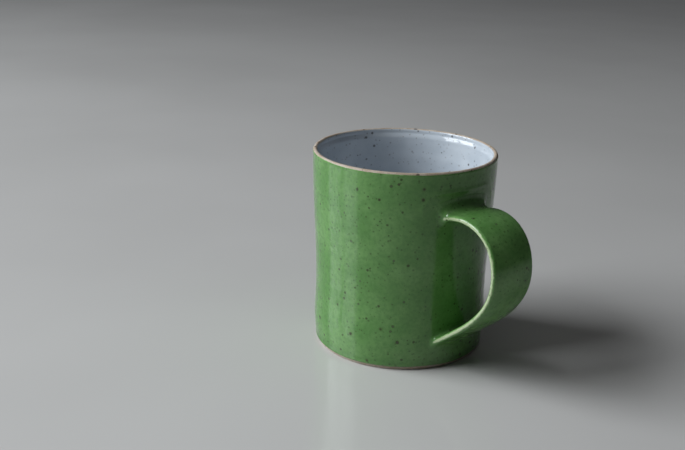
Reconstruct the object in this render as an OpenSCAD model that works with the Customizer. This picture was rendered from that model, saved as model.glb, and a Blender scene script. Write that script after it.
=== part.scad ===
// Stoneware mug, thrown on the wheel, with a wide strap handle luted on with slip.
// The outside is glazed green and the inside has a pale liner glaze. The lip and the foot are bare clay.
// The body turns about Z, its foot stands on z = 0, and the handle points along +X. Millimetres.

/* [Body] */
// Height from the table to the top of the lip
mug_h = 91; // [82:1:100]
// Outer radius just under the lip, glaze included
lip_r = 41.5; // [40:0.5:44]
// Outer radius at the waist, the slimmest place of the wall
waist_r = 39.3; // [38:0.1:40.5]
// Outer radius at the hip, low on the wall
hip_r = 39.7; // [38.5:0.1:41]
// Outer radius where the foot meets the table
foot_r = 38.2; // [36.5:0.1:38.5]
// Thickness of the lip
lip_t = 2.0; // [1.6:0.1:2.8]
// How much thicker the wall gets just below the lip, on the inside
bevel_t = 0.9; // [0.6:0.1:1.2]
// Depth below the lip over which it does so
bevel_h = 3.6; // [3:0.1:5]
// Thickness of the wall low down, glaze included
wall_t = 4.6; // [4:0.1:5.4]
// Thickness of the floor at the centre, glaze included
floor_t = 5.4; // [4.6:0.1:6.5]
// Radius of the inside corner between wall and floor
corner_r = 9; // [6:0.5:12]
// Height of the bare band of clay at the foot
bare_h = 1.5; // [1:0.1:2.5]
// Width of the turned foot ring
ring_w = 5.5; // [4:0.5:8]
// Depth turned out of the underside, inside the foot ring
recess_d = 1.4; // [0.8:0.1:2]

/* [Glaze] */
// Thickness of every coat of glaze
glaze_t = 0.4; // [0.3:0.05:0.6]

/* [Handle] */
// Width of the strap
strap_w = 21.8; // [16:0.1:26]
// Thickness of the strap's clay along its middle
strap_t = 3.1; // [2.6:0.1:4.5]
// Thickness of the strap's clay at its edges
edge_t = 1.8; // [1.4:0.1:2.4]
// How far the middle of the strap stands out from the wall
reach = 31; // [26:0.5:36]
// Height of the middle of the upper joint
top_z = 70.3; // [64:0.5:74]
// Height of the middle of the lower joint
bottom_z = 12.7; // [11:0.5:20]
// Radius of the slip fillet above and below the upper joint
upper_fillet = 2.6; // [2.6:0.1:3.2]
// Radius of the slip fillet above and below the lower joint
lower_fillet = 2.0; // [2:0.1:2.4]

/* [Hidden] */
$fn = 96;

clay_colour = "#b99a7c";
slip_colour = "#c7ab8d";
liner_colour = "#c3ccd6";
green_colour = "#5f9a4b";

// ---- wall curves ----
hip_u = 0.14;                       // heights of the hip and the waist, as shares of mug_h
waist_u = 0.30;
wall_steps = 20;
corner_steps = 8;
bead_steps = 8;
bead_r = lip_t / 2;                 // the lip is a round bead
bead_z = mug_h - bead_r;            // height of the bead's centre
thin_z = bead_z - 1.2;              // the glaze thins out between here and the bead
floor_z = floor_t;                  // height of the drinking floor
bevel_z = bead_z - bevel_h;         // the inside bevel runs from the bead down to here
bevel_steps = 6;
roll_h = 0.5;                       // the green coat's lower edge is chamfered over this height

function ease(a, b, t) = a + (b - a) * (1 - cos(180 * t)) / 2;

// outer surface of the glazed wall
function outer_r(z) =
    let (u = z / mug_h)
    u < hip_u ? ease(hip_r - 0.8, hip_r, u / hip_u)
    : u < waist_u ? ease(hip_r, waist_r, (u - hip_u) / (waist_u - hip_u))
    : ease(waist_r, lip_r, (u - waist_u) / (1 - waist_u));

// inner surface of the glazed wall: it gets thicker over the bevel, and then slowly down to the floor
wall_taper = 0.8;
function wall_t_at(z) =
    lip_t + ease(0, bevel_t, min(1, (bead_z - z) / bevel_h))
    + (wall_t - lip_t - bevel_t) * pow(1 - z / mug_h, wall_taper);
function inner_r(z) = outer_r(min(z, bead_z)) - wall_t_at(z) + wall_t_at(bead_z) - lip_t;

function heights(from, to, steps) = [for (i = [0:steps]) from + (to - from) * i / steps];

// outer clay surface, from the foot up, shared by the clay and the green coat
clay_side = [for (z = heights(bare_h, thin_z, wall_steps)) [outer_r(z) - glaze_t, z]];
glaze_side = [for (z = heights(bare_h + roll_h, thin_z, wall_steps)) [outer_r(z), z]];
bead_outer = [outer_r(bead_z), bead_z];

// inner surface, from the bead down to the axis, moved into the clay by depth d
corner_z = floor_z + corner_r;
corner_x = inner_r(corner_z) - corner_r;
function inner_side(d) = concat(
    [for (z = heights(thin_z, bevel_z, bevel_steps)) [inner_r(z) + d, z]],
    [for (i = [1:wall_steps]) let (z = bevel_z + (corner_z - bevel_z) * i / wall_steps)
        [inner_r(z) + d, z]],
    [for (i = [1:corner_steps]) let (a = 90 * i / corner_steps)
        [corner_x + (corner_r + d) * cos(a), corner_z - (corner_r + d) * sin(a)]],
    [[0, floor_z - d]]
);
bead_inner = [outer_r(bead_z) - lip_t, bead_z];
bead_arc = [for (i = [1:bead_steps - 1]) let (a = 180 * i / bead_steps)
    [outer_r(bead_z) - bead_r + bead_r * cos(a), bead_z + bead_r * sin(a)]];

foot_bevel = 0.7;                   // the foot's outer edge is broken by this much
clay_foot = [
    [0, recess_d], [foot_r - ring_w - recess_d, recess_d], [foot_r - ring_w, 0],
    [foot_r - foot_bevel, 0], [foot_r, foot_bevel]
];

// ---- handle curve ----
// The strap's centreline is a Bezier curve in the XZ plane. Its ends lie inside the wall.
root_r = outer_r(top_z) - 2.2;
foot_root_r = outer_r(bottom_z) - 2.2;
drop = top_z - bottom_z;
strap_controls = [
    [root_r, top_z],
    [root_r + 1.03 * reach, top_z + 0.23 * drop],
    [root_r + 1.46 * reach, top_z - 0.355 * drop],
    [root_r + 0.89 * reach, bottom_z + 0.39 * drop],
    [root_r + 0.74 * reach, bottom_z + 0.305 * drop],
    [foot_root_r, bottom_z]
];
edge_round = 0.6;                   // the strap's edges are half ellipses, this share of edge_t wide
edge_r = edge_round * edge_t;
half_w = strap_w / 2 - edge_r;
edge_share = 0.5;                   // the fillets' radius at the strap's edges, as a share of the full one
joint_rings = 16;
middle_rings = 26;
wash_t = 0.2;                       // beyond its fillet a slip joint is this thin
inside = 5;                         // the forms run this far into the wall before they are trimmed
outside = 7.5;                      // and each slip joint reaches this far from its end of the curve

function bezier(p, t) = len(p) == 1 ? p[0]
    : bezier([for (i = [0:len(p) - 2]) p[i] + (p[i + 1] - p[i]) * t], t);
function clamped(t) = max(0, min(1, t));
function slope(p, t) = (len(p) - 1) * bezier([for (i = [0:len(p) - 2]) p[i + 1] - p[i]], t);

// place and heading of the centreline at t, run on straight past both ends
function place(t) = let (c = clamped(t)) bezier(strap_controls, c) + (t - c) * slope(strap_controls, c);
function heading(t) = let (d = slope(strap_controls, clamped(t))) d / norm(d);

// where the rings of every form stand
t_in = -inside / norm(slope(strap_controls, 0));
t_upper = outside / norm(slope(strap_controls, 0));
t_lower = 1 - outside / norm(slope(strap_controls, 1));
t_out = 1 + inside / norm(slope(strap_controls, 1));
t_start = 1.3 * t_in;
t_end = 1 + 1.3 * (t_out - 1);
t_step = (t_lower - t_upper) / middle_rings;
upper_ts = heights(t_in, t_upper, joint_rings);
middle_ts = heights(t_upper + t_step, t_lower - t_step, middle_rings - 2);
lower_ts = heights(t_lower, t_out, joint_rings);

// the strap's section as [offset across the strap, direction outwards]
section = concat(
    [for (a = [-60:30:60]) [half_w, a]],
    [for (x = heights(half_w, -half_w, 6)) [x, 90]],
    [for (a = [120:30:240]) [-half_w, a]],
    [for (x = heights(-half_w, half_w, 6)) [x, 270]]
);

// growth of a fillet of size r at distance d from the wall
function fillet(d, r) = r * pow(max(0, 1 - max(0, d) / r), 2);

// one point of the strap's surface at t, built up by a wash of slip and its fillet, then by a coat of glaze
function strap_point(t, q, wash, coat, fillet_r) =
    let (c = place(t),
         h = heading(t),
         a = q[1],
         y = q[0] + edge_r * cos(a),
         n = (strap_t + (edge_t - strap_t) * pow(q[0] / half_w, 2)) / 2 * sin(a),
         x = c[0] - h[1] * n,
         z = c[1] + h[0] * n,
         gap = norm([x, y]) - outer_r(z) + glaze_t,
         r = fillet_r * (edge_share + (1 - edge_share) * abs(sin(a))),
         up = wash + coat + (fillet_r > 0 ? fillet(gap - coat, r) : 0))
    [x - h[1] * up * sin(a), y + up * cos(a), z + h[0] * up * sin(a)];

// a closed tube through rings given as [t, wash, coat, fillet_r], capped about the centreline
module sweep(rings) {
    n = len(section);
    m = len(rings);
    skin = [for (r = rings) for (q = section) strap_point(r[0], q, r[1], r[2], r[3])];
    middles = [for (r = [rings[0], rings[m - 1]]) let (c = place(r[0])) [c[0], 0, c[1]]];
    faces = [for (j = [0:n - 1]) let (k = (j + 1) % n, last = (m - 1) * n) each concat(
        [[m * n, j, k], [m * n + 1, last + k, last + j]],
        [for (i = [0:m - 2]) each [
            [i * n + j, (i + 1) * n + j, (i + 1) * n + k],
            [i * n + j, (i + 1) * n + k, i * n + k]
        ]]
    )];
    polyhedron(points = concat(skin, middles), faces = faces, convexity = 6);
}

// the bare strap; both of its ends run on deeper than those of the forms below
module strap_form() {
    sweep([for (t = concat([t_start], upper_ts, middle_ts, lower_ts, [t_end])) [t, 0, 0, 0]]);
}

module upper_form() {
    sweep([for (t = upper_ts) [t, wash_t, 0, upper_fillet]]);
}

module lower_form() {
    sweep([for (t = lower_ts) [t, wash_t, 0, lower_fillet]]);
}

// the strap and both slip joints in one, with a step where each joint ends
module clay_form() {
    sweep(concat(
        [for (t = concat([t_start], upper_ts)) [t, wash_t, 0, upper_fillet]],
        [for (t = concat([t_upper], middle_ts, [t_lower])) [t, 0, 0, 0]],
        [for (t = concat(lower_ts, [t_end])) [t, wash_t, 0, lower_fillet]]
    ));
}

module coat_form() {
    sweep(concat(
        [for (t = upper_ts) [t, wash_t, glaze_t, upper_fillet]],
        [for (t = middle_ts) [t, 0, glaze_t, 0]],
        [for (t = lower_ts) [t, wash_t, glaze_t, lower_fillet]]
    ));
}

// solid out to the clay's surface, or to the glaze's
module clay_core() {
    rotate_extrude() polygon(concat([[0, bare_h]], clay_side, [[0, thin_z]]));
}

module glazed_core() {
    rotate_extrude() polygon(concat([[0, bare_h + roll_h]], glaze_side, [[0, thin_z]]));
}

// ---- the pieces ----
// Wall, floor, lip and foot ring, thrown from one lump of clay
module thrown_body() {
    color(clay_colour) rotate_extrude()
        polygon(concat(clay_foot, clay_side, [bead_outer], bead_arc, [bead_inner], inner_side(glaze_t)));
}

// Pulled strap, cut to length and bent
module handle_strap() {
    color(clay_colour) difference() {
        strap_form();
        clay_core();
    }
}

// Slip worked round the strap's ends, which joins it to the wall
module upper_slip_joint() {
    color(slip_colour) difference() {
        upper_form();
        strap_form();
        clay_core();
    }
}

module lower_slip_joint() {
    color(slip_colour) difference() {
        lower_form();
        strap_form();
        clay_core();
    }
}

// Pale glaze over the inside, from the lip to the middle of the floor
module liner_glaze() {
    inner = inner_side(0);
    outer = inner_side(glaze_t);
    color(liner_colour) rotate_extrude()
        polygon(concat([bead_inner], outer, [for (i = [len(inner) - 1:-1:0]) inner[i]]));
}

// Green glaze over the outside of the wall, left open where the handle is joined
module wall_glaze() {
    color(green_colour) difference() {
        rotate_extrude()
            polygon(concat(clay_side, [bead_outer], [for (i = [wall_steps:-1:0]) glaze_side[i]]));
        upper_form();
        lower_form();
    }
}

// Green glaze round the strap and over its slip joints
module handle_glaze() {
    color(green_colour) difference() {
        coat_form();
        clay_form();
        glazed_core();
    }
}

thrown_body();
handle_strap();
upper_slip_joint();
lower_slip_joint();
liner_glaze();
wall_glaze();
handle_glaze();
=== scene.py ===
"""Looks for the hand-thrown mug: finely shaped glaze and clay, their materials, and a plain studio.

Shapes are worked out in millimetres in the part's frame (foot on z = 0, handle along +X) and made in metres.
"""

import math

import bmesh
import bpy
import numpy as np
from mathutils import Matrix, Vector


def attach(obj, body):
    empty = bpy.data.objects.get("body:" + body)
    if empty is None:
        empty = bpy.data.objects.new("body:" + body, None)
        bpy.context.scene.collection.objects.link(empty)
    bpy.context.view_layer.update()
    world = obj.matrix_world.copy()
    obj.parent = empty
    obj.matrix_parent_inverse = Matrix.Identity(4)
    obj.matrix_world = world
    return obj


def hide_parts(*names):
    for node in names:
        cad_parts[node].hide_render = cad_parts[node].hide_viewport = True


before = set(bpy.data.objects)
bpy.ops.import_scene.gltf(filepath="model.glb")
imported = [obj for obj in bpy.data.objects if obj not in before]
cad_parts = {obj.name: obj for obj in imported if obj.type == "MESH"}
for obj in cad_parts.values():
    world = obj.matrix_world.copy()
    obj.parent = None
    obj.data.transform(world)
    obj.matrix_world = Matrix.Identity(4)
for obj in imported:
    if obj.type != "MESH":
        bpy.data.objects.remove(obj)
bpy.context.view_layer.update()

MM = 0.001

# ---------------------------------------------------------------- sizes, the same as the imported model's
MUG_H = 91.0
LIP_R = 41.5
WAIST_R = 39.3
HIP_R = 39.7
FOOT_R = 38.2
LIP_T = 2.0
BEVEL_T = 0.9
BEVEL_H = 3.6
WALL_T = 4.6
WALL_TAPER = 0.8
FLOOR_T = 5.4
CORNER_R = 9.0
BARE_H = 1.5
RING_W = 5.5
RECESS = 1.4
GLAZE = 0.4
STRAP_W = 21.8
STRAP_T = 3.1
EDGE_T = 1.8
EDGE_R = 0.6 * EDGE_T
REACH = 31.0
TOP_Z = 70.3
BOTTOM_Z = 12.7

HIP_U = 0.14
WAIST_U = 0.30
FOOT_TUCK = 0.8  # the wall draws in this much from the hip to the foot
ROOT_DEPTH = 2.2  # the strap's centreline starts and ends this deep in the wall
BEAD_R = LIP_T / 2
BEAD_Z = MUG_H - BEAD_R

# ---------------------------------------------------------------- where clay, coats and slip lie, in mm
FOOT_EDGE_R = 0.8  # rounding of the foot ring's outer edge
LIP_OVER = 0.24  # the green coat ends this far above the lip's widest height
LINER_OVER = 0.60  # and the liner this far
THIN_Z = 88.6  # the clay comes out to full size, and the green coat thins, from here up to the lip
LINER_THIN_Z = 88.2  # the liner thins from here
EMBED = 0.04  # the hidden side of each coat on the body lies this deep in the clay
JOINT_RISE = 1.5  # the middle of a joint's outline is this far above the strap's end
JOINT_OUTSET = 0.6  # and the outline lies this far outside the strap
FAR_SIDE = 60.0  # added to distances on the half of the wall that has no handle
COAT_BURIED = 0.9  # the hidden ends of the handle's coat lie this deep in the wall
COAT_UNDER = 0.08  # and its hidden side this deep in the strap
SLIP_BURIED = 1.2  # the same for the slip
SLIP_UNDER = 0.06
SLIP_OVER = 0.06  # the slip stands this far out of the strap's clay
TUCK_ALONG = 0.6  # past its fillet a coat runs on this far along the wall
TUCK_IN = 0.25  # and this far into it

# ---------------------------------------------------------------- marks of the hand, in millimetres
OUTER_RING_H = 0.020  # throwing rings outside and inside: how high, and how far apart
OUTER_RING_PITCH = 5.1
INNER_RING_H = 0.035
INNER_RING_PITCH = 6.3
SPIRAL_H = 0.14  # the finger's spiral on the inside floor
SPIRAL_PITCH = 7.5
RIDGE_H = 0.20  # the ridge wiped into the slip: its height, its distance from the joint and its width
RIDGE_GAP = 8.2
RIDGE_W = 0.8
WIDER_TOP = 0.55  # the strap is this much wider on each side at its top end
WIDER_BOTTOM = 1.0  # and this much at its bottom end
CROWN = 0.14  # the strap's faces swell this much in the middle

# ---------------------------------------------------------------- how finely the shapes are drawn
COLUMNS = 288
EDGE_POINTS = 17
FLAT_POINTS = 25
FILLET_ROWS = 12
STRAP_ROWS = 110
HIDDEN_ROWS = 60
HALVINGS = 40


# ---------------------------------------------------------------- helpers
def smooth(low, high, x):
    """0 below low, 1 above high, and a smooth step between."""
    t = np.clip((np.asarray(x, float) - low) / (high - low), 0, 1)
    return t * t * (3 - 2 * t)


def ease(a, b, t):
    return a + (b - a) * (1 - np.cos(np.pi * t)) / 2


def wave(theta, seed, terms):
    """A smooth random curve round the mug, about -1 to 1."""
    rng = np.random.default_rng(seed)
    total = np.zeros_like(theta)
    for k in range(1, terms + 1):
        total += rng.normal() / k**0.6 * np.cos(k * theta + rng.uniform(0, 2 * np.pi))
    return total / 2.4


def make_piece(name, rows, material, replaced, wrap=False, poles=None, paint=None):
    """A closed mesh from rows of points, shape (rows, columns, 3) in mm, that rides on the mug's one body.

    It stands for the replaced nodes. wrap joins the last row to the first. poles caps the first and last
    rows with one point each.
    paint maps attribute names to values, one for each point of the rows.
    """
    n, m, _ = rows.shape
    points = [tuple(p) for p in rows.reshape(-1, 3) * MM]
    faces = []
    for i in range(n if wrap else n - 1):
        a, b = i * m, (i + 1) % n * m
        for j in range(m):
            k = (j + 1) % m
            faces.append((a + j, a + k, b + k, b + j))
    if poles is not None:
        first, last = len(points), len(points) + 1
        points += [tuple(np.array(p) * MM) for p in poles]
        for j in range(m):
            k = (j + 1) % m
            faces.append((first, k, j))
            faces.append((last, (n - 1) * m + j, (n - 1) * m + k))
    mesh = bpy.data.meshes.new(name)
    mesh.from_pydata(points, [], faces)
    edit = bmesh.new()
    edit.from_mesh(mesh)
    bmesh.ops.recalc_face_normals(edit, faces=edit.faces)
    edit.to_mesh(mesh)
    edit.free()
    for key, values in (paint or {}).items():
        full = np.zeros(len(points), dtype=np.float32)
        full[: n * m] = np.broadcast_to(values, (n, m)).ravel()
        mesh.attributes.new(key, "FLOAT", "POINT").data.foreach_set("value", full)
    mesh.shade_smooth()
    mesh.materials.append(material)
    piece = bpy.data.objects.new(name, mesh)
    bpy.context.scene.collection.objects.link(piece)
    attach(piece, "root")
    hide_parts(*replaced)


# ---------------------------------------------------------------- the wall
def outer_r(z):
    """Radius of the glazed wall, before the potter's hand shows."""
    u = np.asarray(z, float) / MUG_H
    foot = ease(HIP_R - FOOT_TUCK, HIP_R, np.clip(u / HIP_U, 0, 1))
    belly = ease(HIP_R, WAIST_R, np.clip((u - HIP_U) / (WAIST_U - HIP_U), 0, 1))
    top = ease(WAIST_R, LIP_R, np.clip((u - WAIST_U) / (1 - WAIST_U), 0, 1))
    return np.where(u < HIP_U, foot, np.where(u < WAIST_U, belly, top))


def wall_t(z):
    """Thickness of the glazed wall: it grows over the bevel inside the lip, then slowly down to the floor."""
    z = np.asarray(z, float)
    bevel = ease(0, BEVEL_T, np.clip((BEAD_Z - z) / BEVEL_H, 0, 1))
    return LIP_T + bevel + (WALL_T - LIP_T - BEVEL_T) * (1 - z / MUG_H) ** WALL_TAPER


def over_bead(z):
    """How far the round lip has drawn in, on either side, at heights above its widest."""
    above = np.clip(np.asarray(z, float) - BEAD_Z, 0, 0.95 * BEAD_R)
    return BEAD_R - np.sqrt(BEAD_R**2 - above**2)


def inner_r(z):
    below = np.minimum(z, BEAD_Z)
    return outer_r(below) - wall_t(below) + wall_t(BEAD_Z) - LIP_T + over_bead(z)


def lobes(theta, z):
    """The mug isn't quite round."""
    return 0.10 * np.cos(2 * theta + 0.6) + 0.04 * np.cos(3 * theta - 1.1 + z / 90)


def outside_rings(theta, z):
    """Shallow throwing rings, which climb as the fingers did."""
    fade = smooth(3, 14, z) * (1 - 0.6 * smooth(60, 90, z))
    turns = 2 * np.pi * z / OUTER_RING_PITCH + theta
    return OUTER_RING_H * fade * np.sin(turns + 0.9 * np.sin(z / 13))


def inside_rings(theta, z):
    fade = smooth(16, 24, z) * (1 - smooth(84, 89, z))
    turns = 2 * np.pi * z / INNER_RING_PITCH - theta
    return INNER_RING_H * fade * np.sin(turns + 1.3 * np.sin(z / 17))


def joint_gap(theta, z, height):
    """Distance along the wall from the outline of the joint whose middle is at height."""
    aside = np.maximum(np.abs(outer_r(z) * np.sin(theta)) - STRAP_W / 2 - JOINT_OUTSET, 0)
    above = np.maximum(np.abs(z - height) - STRAP_T / 2 - JOINT_OUTSET, 0)
    return np.hypot(aside, above) + FAR_SIDE * (np.cos(theta) < 0)


def wiped_ridge(theta, z):
    """The low ridge that the finger left in the slip, in an arc above the upper joint."""
    gap = joint_gap(theta, z, TOP_Z + JOINT_RISE)
    return RIDGE_H * np.exp(-(((gap - RIDGE_GAP) / RIDGE_W) ** 2)) * smooth(TOP_Z, TOP_Z + 6, z)


def wall_r(theta, z):
    """Radius of the finished outside."""
    return outer_r(z) + lobes(theta, z) + outside_rings(theta, z) + wiped_ridge(theta, z)


THETA = np.linspace(0, 2 * np.pi, COLUMNS, endpoint=False)


def turned(radii, heights):
    """Rows of points from radius and height, each of shape (rows, columns)."""
    return np.stack([radii * np.cos(THETA), radii * np.sin(THETA), heights], axis=-1)


def spread(column):
    """A column of values repeated round the mug."""
    return np.repeat(np.asarray(column, float)[:, None], COLUMNS, axis=1)


def near_joint(theta, z, radius):
    """1 at the outlines where the strap meets the wall, falling to 0 away from them."""
    upper = joint_gap(theta, z, TOP_Z + JOINT_RISE)
    lower = joint_gap(theta, z, BOTTOM_Z + JOINT_RISE)
    nearest = np.minimum(upper, lower)
    return np.exp(-((nearest / radius) ** 2))


lip_rise = 0.10 * wave(THETA, 5, 4)  # the lip's height wanders a little
foot_edge = 0.42 * wave(THETA, 11, 12)  # where the green glaze was wiped back at the foot
lip_edge = 0.22 * wave(THETA, 17, 16)  # and at the lip
liner_edge = 0.22 * wave(THETA, 23, 16)


def lift(z):
    """How far the wandering lip raises a point at height z."""
    return lip_rise * smooth(60, MUG_H, z)


def clay_outside(z):
    """Radius of the clay under the green glaze; it comes out to full size at the lip and rounds over it."""
    room = GLAZE * (1 - smooth(THIN_Z, BEAD_Z, z))
    return wall_r(THETA, np.minimum(z, BEAD_Z)) - room - over_bead(z)


# Inside, from the lip down to the middle of the floor: places and the direction into the clay.
corner_z = FLOOR_T + CORNER_R
corner_x = float(inner_r(corner_z)) - CORNER_R
over_zs = np.linspace(BEAD_Z + LINER_OVER, BEAD_Z, 8)[:-1]
wall_zs = np.concatenate([over_zs, np.linspace(BEAD_Z, 86, 24), np.linspace(85.6, corner_z, 110)])
turn = np.radians(np.linspace(5, 90, 18))
floor_rs = np.linspace(corner_x, 0.6, 44)[1:]
inside_r = np.concatenate([inner_r(wall_zs), corner_x + CORNER_R * np.cos(turn), floor_rs])
inside_z = np.concatenate([wall_zs, corner_z - CORNER_R * np.sin(turn), np.full(len(floor_rs), FLOOR_T)])
into_r = np.concatenate([np.ones(len(wall_zs)), np.cos(turn), np.zeros(len(floor_rs))])
into_z = np.concatenate([np.zeros(len(wall_zs)), -np.sin(turn), -np.ones(len(floor_rs))])


def inside_rows(depth):
    """Rows of points on the inside, moved into the clay by depth, one value a row or one a point."""
    r, z, nr, nz = (spread(v) for v in (inside_r, inside_z, into_r, into_z))
    ripple = inside_rings(THETA, z) * nr
    spiral = SPIRAL_H * np.sin(2 * np.pi * r / SPIRAL_PITCH - THETA) * np.abs(nz) * smooth(1, 6, r)
    depth = np.broadcast_to(depth, r.shape) + ripple + spiral
    roundness = lobes(THETA, z) * smooth(0, 30, r)
    return turned(r + roundness + nr * depth, z + nz * depth + lift(z))


# ---------------------------------------------------------------- the strap
def strap_controls():
    """The Bezier curve along the middle of the strap, as (distance from the axis, height)."""
    root = float(outer_r(TOP_Z)) - ROOT_DEPTH
    foot = float(outer_r(BOTTOM_Z)) - ROOT_DEPTH
    drop = TOP_Z - BOTTOM_Z
    return np.array([
        [root, TOP_Z],
        [root + 1.03 * REACH, TOP_Z + 0.23 * drop],
        [root + 1.46 * REACH, TOP_Z - 0.355 * drop],
        [root + 0.89 * REACH, BOTTOM_Z + 0.39 * drop],
        [root + 0.74 * REACH, BOTTOM_Z + 0.305 * drop],
        [foot, BOTTOM_Z],
    ])


CONTROLS = strap_controls()


def bezier(controls, t):
    n = len(controls) - 1
    return sum(
        math.comb(n, i) * (t[..., None] ** i) * ((1 - t[..., None]) ** (n - i)) * controls[i]
        for i in range(n + 1)
    )


def centreline(t):
    """Place and unit heading at t; the curve runs on straight past both ends."""
    c = np.clip(t, 0, 1)
    slope = (len(CONTROLS) - 1) * bezier(np.diff(CONTROLS, axis=0), c)
    place = bezier(CONTROLS, c) + (t - c)[..., None] * slope
    return place, slope / np.linalg.norm(slope, axis=-1, keepdims=True)


def section():
    """Round the strap's section: offset from the middle in half widths, and the direction outwards."""
    edge = np.radians(np.linspace(-90, 90, EDGE_POINTS))
    flat = np.linspace(1, -1, FLAT_POINTS + 2)[1:-1]
    side = np.ones(EDGE_POINTS)
    up = np.full(FLAT_POINTS, np.pi / 2)
    down = np.full(FLAT_POINTS, 1.5 * np.pi)
    offset = np.concatenate([side, flat, -side, -flat])
    angle = np.concatenate([edge, up, edge + np.pi, down])
    return offset, angle


OFFSET, ANGLE = section()
HALF_W = STRAP_W / 2 - EDGE_R


def strap_point(t, grow):
    """Points of the strap at t, of shape (..., section), raised by grow above its clay."""
    place, heading = centreline(t)
    widen = WIDER_TOP * (1 - smooth(0.0, 0.3, t)) + WIDER_BOTTOM * smooth(0.6, 1.0, t)
    hand = 0.10 * np.sin(9 * t + 0.7) + 0.06 * np.sin(23 * t + 2.0)
    half = HALF_W + widen + hand * np.sign(OFFSET)
    dent = 0.07 * np.exp(-(((t - 0.47 - 0.02 * OFFSET) / 0.02) ** 2))
    pulled = 0.10 * np.sin(17 * t + 2.4) + dent
    crown = (CROWN + pulled) * (1 - OFFSET**2)
    thickness = STRAP_T + (EDGE_T - STRAP_T) * OFFSET**2
    y = OFFSET * half + (EDGE_R + grow) * np.cos(ANGLE)
    n = (thickness / 2 + grow + crown) * np.sin(ANGLE)
    x = place[..., 0] - heading[..., 1] * n
    z = place[..., 1] + heading[..., 0] * n
    return np.stack([x, y, z], axis=-1)


def out_of_wall(p):
    """How far points lie outside the glazed wall."""
    theta = np.arctan2(p[..., 1], p[..., 0])
    return np.hypot(p[..., 0], p[..., 1]) - wall_r(theta, p[..., 2])


def onto_wall(p, rise):
    """Points moved along their radius to rise above the glazed wall."""
    theta = np.arctan2(p[..., 1], p[..., 0])
    r = wall_r(theta, p[..., 2]) + rise
    return np.stack([r * np.cos(theta), r * np.sin(theta), p[..., 2]], axis=-1)


def meet_wall(inside_t, outside_t, grow):
    """The t at which each line along the strap comes out of the wall, found by halving."""
    low = np.full(len(OFFSET), inside_t)
    high = np.full(len(OFFSET), outside_t)
    for _ in range(HALVINGS):
        mid = (low + high) / 2
        within = out_of_wall(strap_point(mid, grow)) < 0
        low = np.where(within, mid, low)
        high = np.where(within, high, mid)
    return (low + high) / 2


def skirt(t_wall, step, outer, inner, edge, grow, sink):
    """Rows from the strap's surface round a fillet and out onto the wall.

    step is the change of t that goes one millimetre away from the wall. outer, inner and edge are the
    fillet's size on the strap's outer face, on its inner face and at its edges. grow is its height above
    the strap's clay, and sink its depth below the glazed wall.
    """
    face = np.where(np.sin(ANGLE) > 0, outer, inner)
    size = edge + (face - edge) * np.abs(np.sin(ANGLE)) ** 1.5
    corner = strap_point(t_wall, grow)
    start = strap_point(t_wall + size * step, grow)
    _, heading = centreline(t_wall)
    outward = np.stack(
        [-heading[:, 1] * np.sin(ANGLE), np.cos(ANGLE), heading[:, 0] * np.sin(ANGLE)], axis=-1
    )
    theta = np.arctan2(corner[:, 1], corner[:, 0])
    normal = np.stack([np.cos(theta), np.sin(theta), np.zeros_like(theta)], axis=-1)
    along = outward - np.sum(outward * normal, axis=-1, keepdims=True) * normal
    along /= np.linalg.norm(along, axis=-1, keepdims=True)
    corner = onto_wall(corner, -sink)
    end = onto_wall(corner + along * size[:, None], -sink)
    beyond = onto_wall(corner + along * (size[:, None] + TUCK_ALONG), -sink - TUCK_IN)
    rows = []
    for u in np.linspace(0, 1, FILLET_ROWS + 1)[1:]:
        rows.append((1 - u) ** 2 * start + 2 * u * (1 - u) * corner + u * u * end)
    return np.array(rows + [beyond]), size


# Each joint: where to look for the wall along the curve, the change of t per millimetre away from the wall,
# and the size of its fillet on the strap's outer face, on its inner face and at its edges.
STEP_TOP = 1 / (5 * float(np.linalg.norm(CONTROLS[1] - CONTROLS[0])))
STEP_BOTTOM = -1 / (5 * float(np.linalg.norm(CONTROLS[5] - CONTROLS[4])))
UPPER = {"search": (-0.03, 0.08), "step": STEP_TOP, "fillet": (6.6, 4.0, 2.4)}
LOWER = {"search": (1.03, 0.90), "step": STEP_BOTTOM, "fillet": (4.4, 3.8, 2.2)}


def joint_skirt(joint, grow=GLAZE, sink=0.0):
    """A joint's fillet, and the t at which each of its lines leaves the strap."""
    t_wall = meet_wall(*joint["search"], grow)
    rows, size = skirt(t_wall, joint["step"], *joint["fillet"], grow=grow, sink=sink)
    return rows, t_wall + size * joint["step"]


def buried(joint, depth):
    """The t at which each line along the strap's clay is depth millimetres inside the glazed wall."""
    return meet_wall(*joint["search"], 0.0) - depth * joint["step"]


def slip_rows(joint):
    """The slip under the coat: a closed collar from the strap's clay out to the wall's, one glaze lower."""
    skin, t_leave = joint_skirt(joint, grow=SLIP_OVER, sink=GLAZE)
    t_deep = buried(joint, SLIP_BURIED)
    hidden = [strap_point(t_deep + (t_leave - t_deep) * s, -SLIP_UNDER) for s in np.linspace(0, 1, 8)]
    return np.concatenate([skin, np.array(hidden)])


def strap_rows():
    """The glazed strap as rows round it, from the upper joint to the lower one and back inside the clay."""
    top_rows, start = joint_skirt(UPPER)
    bottom_rows, end = joint_skirt(LOWER)
    middle = np.array([strap_point(start + (end - start) * s, GLAZE) for s in np.linspace(0, 1, STRAP_ROWS)])
    t_low = buried(LOWER, COAT_BURIED)
    t_high = buried(UPPER, COAT_BURIED)
    back = t_low + (t_high - t_low) * np.linspace(0, 1, HIDDEN_ROWS)[:, None]
    hidden = np.array([strap_point(t, -COAT_UNDER) for t in back])
    rows = np.concatenate([top_rows[::-1], middle, bottom_rows, hidden])
    return rows, len(top_rows), len(middle), len(bottom_rows)


# ---------------------------------------------------------------- materials
def shader(name):
    """A new material, its node tree, and its Principled shader."""
    material = bpy.data.materials.new(name)
    material.use_nodes = True
    tree = material.node_tree
    return material, tree, tree.nodes["Principled BSDF"]


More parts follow.
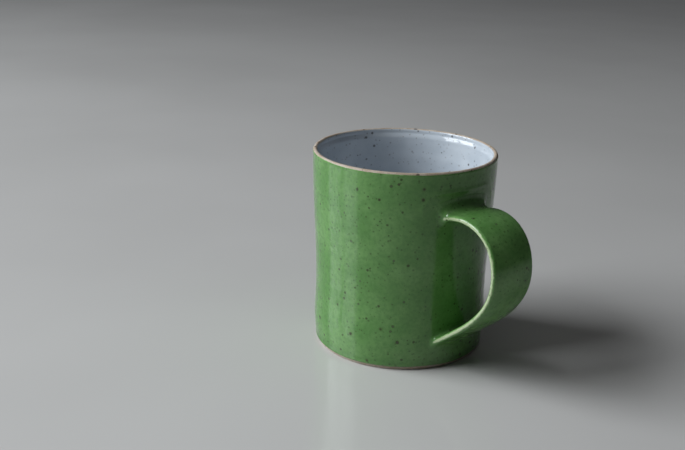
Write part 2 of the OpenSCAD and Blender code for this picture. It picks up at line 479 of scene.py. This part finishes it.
def add(tree, kind, **values):
    """A node with its properties set; keys starting with in_ are sockets, by name with _ for a space."""
    node = tree.nodes.new(kind)
    for key, value in values.items():
        if key.startswith("in_"):
            node.inputs[key[3:].replace("_", " ")].default_value = value
        else:
            setattr(node, key, value)
    return node


def link(tree, source, target):
    tree.links.new(source, target)


def math_node(tree, operation, a, b):
    node = tree.nodes.new("ShaderNodeMath")
    node.operation = operation
    for socket, value in zip(node.inputs, (a, b)):
        if isinstance(value, (int, float)):
            socket.default_value = value
        else:
            link(tree, value, socket)
    return node.outputs[0]


def ramp(tree, value, low, high, out_low=0.0, out_high=1.0):
    """value from low..high to out_low..out_high, smoothly, and held outside."""
    node = add(tree, "ShaderNodeMapRange", interpolation_type="SMOOTHSTEP")
    for name, number in (("From Min", low), ("From Max", high), ("To Min", out_low), ("To Max", out_high)):
        node.inputs[name].default_value = number
    link(tree, value, node.inputs["Value"])
    return node.outputs["Result"]


def mix(tree, factor, a, b):
    """Colour a where factor is 0, b where it is 1."""
    node = add(tree, "ShaderNodeMix", data_type="RGBA")
    link(tree, factor, node.inputs["Factor"])
    for socket, value in ((node.inputs["A"], a), (node.inputs["B"], b)):
        if isinstance(value, tuple):
            socket.default_value = (*value, 1.0)
        else:
            link(tree, value, socket)
    return node.outputs["Result"]


def noise(tree, coords, size_mm, detail=3.0, rough=0.5, offset=0.0):
    """Noise whose features are about size_mm across, from 0 to 1."""
    moved = add(tree, "ShaderNodeVectorMath", operation="ADD")
    moved.inputs[1].default_value = (offset, offset * 0.7, -offset)
    link(tree, coords, moved.inputs[0])
    node = add(tree, "ShaderNodeTexNoise", in_Scale=1 / (size_mm * MM), in_Detail=detail, in_Roughness=rough)
    link(tree, moved.outputs[0], node.inputs["Vector"])
    return node.outputs["Fac"]


def jittered(tree, coords, size_mm, amount_mm):
    """Coordinates pushed about, so that specks come out ragged."""
    node = add(tree, "ShaderNodeTexNoise", in_Scale=1 / (size_mm * MM), in_Detail=2.0)
    link(tree, coords, node.inputs["Vector"])
    centred = add(tree, "ShaderNodeVectorMath", operation="SUBTRACT")
    centred.inputs[1].default_value = (0.5, 0.5, 0.5)
    link(tree, node.outputs["Color"], centred.inputs[0])
    scaled = add(tree, "ShaderNodeVectorMath", operation="SCALE", in_Scale=2 * amount_mm * MM)
    link(tree, centred.outputs[0], scaled.inputs[0])
    moved = add(tree, "ShaderNodeVectorMath", operation="ADD")
    link(tree, coords, moved.inputs[0])
    link(tree, scaled.outputs[0], moved.inputs[1])
    return moved.outputs[0]


def specks(tree, coords, cell_mm, radius_mm, keep, soft=0.25):
    """1 in round specks and 0 between. keep is the share of cells with a speck: a number or a socket."""
    cells = add(tree, "ShaderNodeTexVoronoi", in_Scale=1 / (cell_mm * MM), in_Randomness=1.0)
    link(tree, coords, cells.inputs["Vector"])
    parts = tree.nodes.new("ShaderNodeSeparateColor")
    link(tree, cells.outputs["Color"], parts.inputs["Color"])
    size = ramp(tree, parts.outputs["Green"], 0, 1, 0.45 * radius_mm / cell_mm, radius_mm / cell_mm)
    ratio = math_node(tree, "DIVIDE", cells.outputs["Distance"], size)
    inside = ramp(tree, ratio, 1 + soft, 1 - soft)
    kept = math_node(tree, "LESS_THAN", parts.outputs["Red"], keep)
    return math_node(tree, "MULTIPLY", inside, kept)


def bump(tree, target, height, strength, distance_mm, under=None):
    node = add(tree, "ShaderNodeBump", in_Strength=strength, in_Distance=distance_mm * MM)
    link(tree, height, node.inputs["Height"])
    if under is not None:
        link(tree, under, node.inputs["Normal"])
    link(tree, node.outputs["Normal"], target)
    return node.outputs["Normal"]


def height_mm(tree, coords):
    """Height above the foot, in millimetres."""
    parts = tree.nodes.new("ShaderNodeSeparateXYZ")
    link(tree, coords, parts.inputs[0])
    return math_node(tree, "MULTIPLY", parts.outputs["Z"], 1000.0)


def object_coords(tree):
    return tree.nodes.new("ShaderNodeTexCoord").outputs["Object"]


def attribute(tree, name):
    return add(tree, "ShaderNodeAttribute", attribute_name=name).outputs["Fac"]


GREEN = (0.105, 0.262, 0.066)
GREEN_DEEP = (0.038, 0.118, 0.026)
GREEN_LIGHT = (0.150, 0.325, 0.098)
CELADON = (0.420, 0.520, 0.300)
IRON = (0.026, 0.032, 0.009)
IRON_HALO = (0.075, 0.120, 0.030)
LINER = (0.500, 0.555, 0.615)
LINER_LIGHT = (0.570, 0.620, 0.675)
LINER_BREAK = (0.42, 0.36, 0.29)
LINER_FINE_SPECK = (0.12, 0.11, 0.11)
LINER_SPECK = (0.050, 0.045, 0.045)
GLAZE_IOR = 1.52


def green_glaze(name):
    """Glossy green over iron-bearing clay: pale where it is thin, dark where it pools, and specked."""
    material, tree, main = shader(name)
    coords = object_coords(tree)
    ragged = jittered(tree, coords, 1.1, 0.22)
    height = height_mm(tree, coords)
    thin = attribute(tree, "thin")
    pool = attribute(tree, "pool")

    mottle = ramp(tree, noise(tree, coords, 14, 4.0, 0.55), 0.35, 0.68)
    base = mix(tree, mottle, GREEN, GREEN_LIGHT)
    grain = ramp(tree, noise(tree, coords, 1.6, 2.0, 0.6, 3.1), 0.35, 0.75, 0.0, 0.32)
    base = mix(tree, grain, base, GREEN_DEEP)
    uneven = ramp(tree, noise(tree, coords, 4, offset=5.2), 0.2, 0.6, 0.6, 1.0)
    pooled = math_node(tree, "MULTIPLY", pool, uneven)
    base = mix(tree, pooled, base, GREEN_DEEP)
    wander = ramp(tree, noise(tree, coords, 2.6, 3.0, 0.6, 7.7), 0.2, 0.8, -0.22, 0.22)
    broken = math_node(tree, "ADD", thin, wander)
    base = mix(tree, ramp(tree, broken, 0.38, 0.92), base, CELADON)

    lower = ramp(tree, height, 34, 6)
    many = math_node(tree, "ADD", math_node(tree, "MULTIPLY", lower, 0.20), 0.62)
    few = math_node(tree, "ADD", math_node(tree, "MULTIPLY", lower, 0.40), 0.10)
    fine = specks(tree, ragged, 2.1, 0.48, 1.0, 0.5)
    middle = specks(tree, ragged, 3.8, 0.66, many, 0.4)
    large = specks(tree, ragged, 6.0, 0.80, few, 0.35)
    halo = specks(tree, ragged, 6.0, 1.10, few, 0.45)
    base = mix(tree, math_node(tree, "MULTIPLY", halo, 0.55), base, IRON_HALO)
    base = mix(tree, math_node(tree, "MULTIPLY", fine, 0.50), base, IRON)
    middle_dark = math_node(tree, "MULTIPLY", middle, 0.8)
    dark = math_node(tree, "MAXIMUM", middle_dark, math_node(tree, "MULTIPLY", large, 0.92))
    base = mix(tree, dark, base, IRON)
    link(tree, base, main.inputs["Base Color"])

    rough = ramp(tree, noise(tree, coords, 6, 3.0, 0.6, 2.4), 0.3, 0.7, 0.10, 0.19)
    rough = math_node(tree, "ADD", rough, math_node(tree, "MULTIPLY", dark, 0.14))
    link(tree, rough, main.inputs["Roughness"])
    main.inputs["IOR"].default_value = GLAZE_IOR
    swell = noise(tree, coords, 9, 2.0, 0.4, 1.3)
    pits = math_node(tree, "ADD", dark, noise(tree, coords, 0.9, 2.0, 0.5, 4.0))
    under = bump(tree, main.inputs["Normal"], swell, 0.20, 0.30)
    bump(tree, main.inputs["Normal"], pits, 0.30, 0.035, under)
    return material


def liner_glaze(name):
    """Glossy pale blue-grey with dark specks, warmer where it thins at the lip."""
    material, tree, main = shader(name)
    coords = object_coords(tree)
    ragged = jittered(tree, coords, 1.0, 0.2)
    mottle = ramp(tree, noise(tree, coords, 12, 4.0, 0.55, 2.0), 0.3, 0.7)
    base = mix(tree, mottle, LINER, LINER_LIGHT)
    thin = attribute(tree, "thin")
    base = mix(tree, ramp(tree, thin, 0.2, 1.0, 0.0, 0.8), base, LINER_BREAK)
    fine = specks(tree, ragged, 2.1, 0.44, 1.0, 0.5)
    middle = specks(tree, ragged, 3.8, 0.62, 0.60, 0.4)
    large = specks(tree, ragged, 7.0, 0.80, 0.25, 0.4)
    base = mix(tree, math_node(tree, "MULTIPLY", fine, 0.45), base, LINER_FINE_SPECK)
    middle_dark = math_node(tree, "MULTIPLY", middle, 0.75)
    dark = math_node(tree, "MAXIMUM", middle_dark, math_node(tree, "MULTIPLY", large, 0.9))
    base = mix(tree, dark, base, LINER_SPECK)
    link(tree, base, main.inputs["Base Color"])
    rough = ramp(tree, noise(tree, coords, 6, 3.0, 0.6, 6.4), 0.3, 0.7, 0.05, 0.09)
    link(tree, rough, main.inputs["Roughness"])
    main.inputs["IOR"].default_value = GLAZE_IOR
    swell = noise(tree, coords, 9, 2.0, 0.4, 8.3)
    under = bump(tree, main.inputs["Normal"], swell, 0.10, 0.30)
    bump(tree, main.inputs["Normal"], dark, 0.25, 0.03, under)
    return material


def bare_clay(name, body, toasted, iron):
    """Unglazed stoneware: gritty, toasted in places, with iron spots."""
    material, tree, main = shader(name)
    coords = object_coords(tree)
    ragged = jittered(tree, coords, 0.8, 0.2)
    toast = ramp(tree, noise(tree, coords, 7, 4.0, 0.6, 1.7), 0.35, 0.65)
    base = mix(tree, toast, body, toasted)
    grit = ramp(tree, noise(tree, coords, 0.5, 3.0, 0.7, 0.4), 0.35, 0.7, 0.0, 0.4)
    base = mix(tree, grit, base, tuple(0.55 * v for v in toasted))
    small = specks(tree, ragged, 2.4, 0.50, 0.50)
    large = specks(tree, ragged, 5.0, 1.0, 0.55, 0.35)
    spots = math_node(tree, "MAXIMUM", small, large)
    base = mix(tree, math_node(tree, "MULTIPLY", spots, 0.85), base, iron)
    link(tree, base, main.inputs["Base Color"])
    main.inputs["Roughness"].default_value = 0.62
    sand = noise(tree, coords, 0.35, 4.0, 0.7, 9.0)
    bump(tree, main.inputs["Normal"], sand, 0.45, 0.06)
    return material


green = green_glaze("speckled_green_glaze")
liner = liner_glaze("pale_liner_glaze")
clay = bare_clay("bare_stoneware", (0.60, 0.53, 0.45), (0.45, 0.35, 0.26), (0.050, 0.030, 0.018))
slip = bare_clay("joining_slip", (0.46, 0.36, 0.26), (0.36, 0.26, 0.175), (0.06, 0.035, 0.02))


# ---------------------------------------------------------------- the body's clay
def body_rows():
    """Clay from the underside, round the foot, up the outside, over the lip and down to the floor."""
    under = [(r, RECESS) for r in np.linspace(0.6, FOOT_R - RING_W - RECESS - 1, 14)]
    step = [(FOOT_R - RING_W - RECESS, RECESS - 0.15), (FOOT_R - RING_W - 0.25, 0.12), (FOOT_R - RING_W, 0.0)]
    ring = [(r, 0.0) for r in np.linspace(FOOT_R - RING_W + 0.6, FOOT_R - 0.9, 8)]
    edge = []
    for a in np.radians(np.arange(15, 91, 15)):
        r = FOOT_R - FOOT_EDGE_R + FOOT_EDGE_R * math.sin(a)
        edge.append((r, FOOT_EDGE_R - FOOT_EDGE_R * math.cos(a)))
    radii = [spread([p[0]]) for p in under + step + ring + edge]
    heights = [spread([p[1]]) for p in under + step + ring + edge]
    for z in np.concatenate([np.linspace(1.1, 88.4, 120), np.linspace(THIN_Z, BEAD_Z, 8)]):
        blend = smooth(0.8, 2.2, z)
        radii.append((FOOT_R * (1 - blend) + clay_outside(z) * blend)[None])
        heights.append((z + lift(z))[None])
    bead = float(outer_r(BEAD_Z)) - BEAD_R + lobes(THETA, BEAD_Z)
    for a in np.radians(np.linspace(0, 180, 19)[1:-1]):
        radii.append((bead + BEAD_R * math.cos(a))[None])
        heights.append((BEAD_Z + BEAD_R * math.sin(a) + lip_rise)[None])
    outside = turned(np.concatenate(radii), np.concatenate(heights))
    depth = spread(GLAZE * (1 - smooth(THIN_Z, BEAD_Z, inside_z)))
    return np.concatenate([outside, inside_rows(depth)[len(over_zs):]])


make_piece(
    "clay_body", body_rows(), clay, ["thrown_body"],
    poles=[(0, 0, RECESS), (0, 0, FLOOR_T - GLAZE)],
)


# ---------------------------------------------------------------- the coats on the body
def wall_coat():
    """Green glaze outside: a rolled lower edge, an even wall, and a thin upper edge over the lip."""
    low = BARE_H + np.array([0, 0.02, 0.08, 0.18, 0.32, 0.5, 0.75, 1.1, 1.5])
    high = BEAD_Z + np.array([-1.6, -1.2, -0.85, -0.55, -0.3, -0.1, 0.05, 0.15, LIP_OVER])
    zs = np.concatenate([low, np.linspace(3.6, 87.8, 150), high])
    grown = np.sqrt(np.clip(1 - (1 - np.clip((zs - BARE_H) / 0.5, 0, 1)) ** 2, 0, 1))
    rolled = grown * (GLAZE + 0.16 * np.exp(-(((zs - BARE_H - 0.9) / 0.8) ** 2)))
    thinned = rolled * (1 - smooth(THIN_Z, BEAD_Z + LIP_OVER, zs)) + 0.03 * smooth(THIN_Z, BEAD_Z, zs)
    z = spread(zs)
    z = z + foot_edge * np.exp(-(z - BARE_H) / 1.6) + lip_edge * np.exp(-(BEAD_Z + LIP_OVER - z) / 0.7)
    under = clay_outside(z)
    front = turned(under + spread(thinned), z + lift(z))
    back = turned(under - EMBED, z + lift(z))[::-1]
    edges = np.maximum(0.55 * np.exp(-(z - BARE_H) / 0.5), 0.50 * np.exp(-(BEAD_Z + LIP_OVER - z) / 0.5))
    roll = 0.35 * np.exp(-(((z - 3.2) / 1.6) ** 2))
    hidden = np.zeros_like(z)
    thin = np.concatenate([edges, hidden])
    pool = np.concatenate([0.12 * near_joint(THETA, z, 3.2) + roll, hidden])
    return np.concatenate([front, back]), {"thin": thin, "pool": np.clip(pool, 0, 1)}


coat_rows, coat_paint = wall_coat()
make_piece("green_coat", coat_rows, green, ["wall_glaze"], wrap=True, paint=coat_paint)


def liner_coat():
    """Pale glaze inside, from a thin edge at the lip to the middle of the floor."""
    thinned = 1 - smooth(LINER_THIN_Z, BEAD_Z + LINER_OVER, inside_z)
    clay_depth = GLAZE * (1 - smooth(THIN_Z, BEAD_Z, inside_z))
    front = inside_rows(spread(clay_depth - GLAZE * thinned - 0.03 * (1 - thinned)))
    back = inside_rows(spread(clay_depth + EMBED))
    shift = spread(np.exp(-(BEAD_Z + LINER_OVER - inside_z) / 0.7)) * liner_edge
    front[..., 2] += shift
    back[..., 2] += shift
    thin = spread(0.6 * np.exp(-(BEAD_Z + LINER_OVER - inside_z) / 0.4))
    return np.concatenate([front[::-1], back]), {"thin": np.concatenate([thin[::-1], np.zeros_like(thin)])}


liner_rows, liner_paint = liner_coat()
make_piece(
    "liner_coat", liner_rows, liner, ["liner_glaze"],
    poles=[(0, 0, FLOOR_T), (0, 0, FLOOR_T - GLAZE - EMBED)], paint=liner_paint,
)


# ---------------------------------------------------------------- the coat on the handle
def handle_coat():
    rows, top, middle, bottom = strap_rows()
    across = np.abs(np.sin(ANGLE))
    at_edge = np.abs(OFFSET) >= 1
    outer_face = ~at_edge & (np.sin(ANGLE) > 0)
    edge = (1 - across**1.5) * at_edge + 0.35 * smooth(0.93, 1.0, np.abs(OFFSET)) * outer_face
    # down the strap: 1 on the wall, 0 past the fillet, and then how near each row is to a joint
    leaving = np.linspace(1, 0, top + 1)[:-1]
    arriving = np.linspace(0, 1, bottom + 1)[1:]
    fillet = np.concatenate([leaving, np.zeros(middle), arriving])
    along = np.linspace(0, 1, middle)
    fading = np.exp(-along / 0.05) + np.exp(-(1 - along) / 0.05)
    near = np.concatenate([np.ones(top), fading, np.ones(bottom)])
    hidden = len(rows) - len(fillet)
    thin = np.outer(1 - smooth(0.0, 0.6, fillet), edge) - np.outer(0.30 * near, 1 - edge)
    pool = 0.22 * np.outer(np.sin(np.pi * np.clip(fillet, 0, 1)) ** 0.8, 0.35 + 0.65 * across)
    nothing = np.zeros((hidden, len(OFFSET)))
    thin = np.concatenate([np.clip(thin, 0, 1), nothing])
    return rows, {"thin": thin, "pool": np.concatenate([pool, nothing])}


handle_rows, handle_paint = handle_coat()
make_piece("handle_coat", handle_rows, green, ["handle_glaze"], wrap=True, paint=handle_paint)

for name, joint in (("upper_slip", UPPER), ("lower_slip", LOWER)):
    make_piece(name, slip_rows(joint), slip, [f"{name}_joint"], wrap=True)

# The strap's clay stays as packed, under the glaze.
strap_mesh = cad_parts["handle_strap"].data
strap_mesh.materials.clear()
strap_mesh.materials.append(clay)


# ---------------------------------------------------------------- camera, in millimetres and degrees
CAMERA_AZIMUTH = -40.2  # direction from the mug to the camera, from +X
CAMERA_DISTANCE = 474.0  # from the middle of the lip
CAMERA_RISE = 14.26  # elevation seen from there
HEADING_LEFT = 3.43  # the camera looks this far left of the mug,
PITCH = 18.52  # this far below level,
ROLL = 1.32  # and is turned this far about its axis
LENS = 55.18
SENSOR_W = 36.0


def around(azimuth, elevation, distance):
    """A point at that distance from the origin, in the distance's own unit."""
    a, e = math.radians(azimuth), math.radians(elevation)
    return Vector((math.cos(e) * math.cos(a), math.cos(e) * math.sin(a), math.sin(e))) * distance


def add_camera():
    data = bpy.data.cameras.new("camera")
    data.lens = LENS
    data.sensor_width = SENSOR_W
    data.clip_start = 0.01
    data.clip_end = 50.0
    camera = bpy.data.objects.new("camera", data)
    bpy.context.scene.collection.objects.link(camera)
    place = Vector((0, 0, MUG_H)) + around(CAMERA_AZIMUTH, CAMERA_RISE, CAMERA_DISTANCE)
    forward = around(CAMERA_AZIMUTH + 180 + HEADING_LEFT, -PITCH, 1)
    right = forward.cross(Vector((0, 0, 1))).normalized()
    down = forward.cross(right)
    c, s = math.cos(math.radians(ROLL)), math.sin(math.radians(ROLL))
    turned_right = c * right - s * down
    turned_down = s * right + c * down
    axes = Matrix((turned_right, -turned_down, -forward)).transposed()
    camera.matrix_world = Matrix.Translation(place * MM) @ axes.to_4x4()
    bpy.context.scene.camera = camera


# ---------------------------------------------------------------- studio, in metres
DAYLIGHT = (0.93, 0.97, 1.0)
WARM_WHITE = (1.0, 0.99, 0.97)
SKY = (0.80, 0.82, 0.86, 1)
SKY_STRENGTH = 0.045
FLOOR_PALE = (0.57, 0.56, 0.55)
FLOOR_PALER = (0.61, 0.60, 0.59)
FLOOR_HALF = 6
AIM = (0, 0, 0.05)


def softbox(name, left, elevation, distance, width, height, power, colour):
    """An area light that faces the mug. left is its azimuth, in degrees left of the camera."""
    data = bpy.data.lights.new(name, "AREA")
    data.shape = "RECTANGLE"
    data.size = width
    data.size_y = height
    data.energy = power
    data.color = colour
    lamp = bpy.data.objects.new(name, data)
    bpy.context.scene.collection.objects.link(lamp)
    place = around(CAMERA_AZIMUTH - left, elevation, distance)
    lamp.location = place
    lamp.rotation_euler = (Vector(AIM) - place).to_track_quat("-Z", "Y").to_euler()


def add_studio():
    material, tree, main = shader("pale_floor")
    coords = object_coords(tree)
    tone = ramp(tree, noise(tree, coords, 260, 3.0, 0.5), 0.3, 0.7)
    link(tree, mix(tree, tone, FLOOR_PALE, FLOOR_PALER), main.inputs["Base Color"])
    main.inputs["Roughness"].default_value = 0.17
    mesh = bpy.data.meshes.new("studio_floor")
    h = FLOOR_HALF
    mesh.from_pydata([(-h, -h, 0), (h, -h, 0), (h, h, 0), (-h, h, 0)], [], [(0, 1, 2, 3)])
    mesh.materials.append(material)
    floor = bpy.data.objects.new("studio_floor", mesh)
    bpy.context.scene.collection.objects.link(floor)

    world = bpy.data.worlds.new("studio_air")
    world.use_nodes = True
    world.node_tree.nodes["Background"].inputs["Color"].default_value = SKY
    world.node_tree.nodes["Background"].inputs["Strength"].default_value = SKY_STRENGTH
    bpy.context.scene.world = world

    softbox("window_near", 70, 34, 2.0, 0.68, 1.40, 26.0, DAYLIGHT)
    softbox("window_far", 95.5, 34, 2.0, 0.76, 1.40, 27.0, DAYLIGHT)
    softbox("ceiling", 10, 80, 2.2, 1.4, 1.4, 2.2, WARM_WHITE)
    bpy.context.scene.view_settings.view_transform = "Standard"


add_camera()
add_studio()
